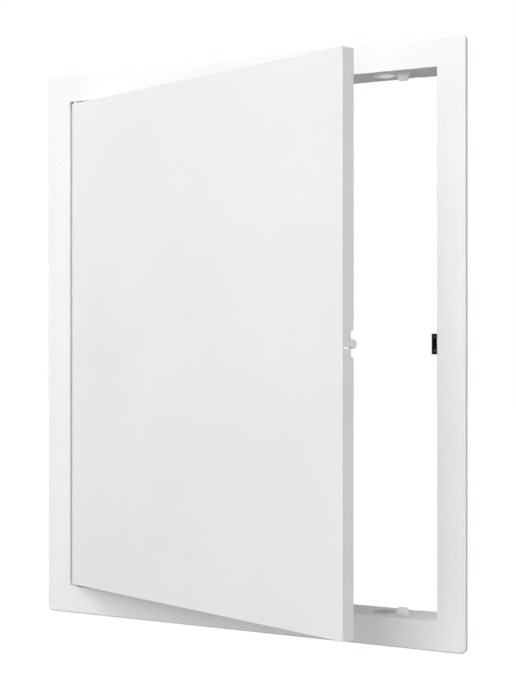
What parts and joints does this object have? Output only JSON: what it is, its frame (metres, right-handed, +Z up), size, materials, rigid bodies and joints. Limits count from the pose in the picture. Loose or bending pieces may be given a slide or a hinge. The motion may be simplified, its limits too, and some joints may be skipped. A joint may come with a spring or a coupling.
{
  "type": "access panel",
  "caption": "White moulded wall access panel: a flanged frame with deep returns for the cut-out and a pivoted flush door with a snap tongue and a small black catch.",
  "frame": {"origin": "on the flange's rear face, the face that lies on the wall, in the middle of the bottom strip", "axes": "+X to the right as seen from the room, +Y back into the wall, +Z up; the front faces -Y"},
  "size_m": [0.278, 0.1095, 0.333],
  "materials": {
    "frame_white": "satin moulded",
    "door_white": "satin moulded",
    "catch_black": "matt moulded"
  },
  "bodies": {
    "frame": {"front_flange": "frame_white", "top_return": "frame_white", "bottom_return": "frame_white", "hinge_side_return": "frame_white", "latch_side_return": "frame_white", "upper_left_stop_lug": "frame_white", "upper_right_stop_lug": "frame_white", "lower_left_stop_lug": "frame_white", "lower_right_stop_lug": "frame_white", "catch_housing": "catch_black", "catch_upper_jaw": "catch_black", "catch_lower_jaw": "catch_black"},
    "door": {"door_face": "door_white", "door_top_rim": "door_white", "door_bottom_rim": "door_white", "door_hinge_rim": "door_white", "door_upper_latch_rim": "door_white", "door_lower_latch_rim": "door_white", "latch_tongue": "door_white", "upper_hinge_pin": "door_white", "lower_hinge_pin": "door_white"}
  },
  "joints": [
    {"name": "door_swing", "type": "hinge", "parent": "frame", "child": "door", "pos_m": [-0.1192, -0.0005, 0.1595], "axis": [0, 0, -1], "range_deg": [-20, 70]}
  ]
}
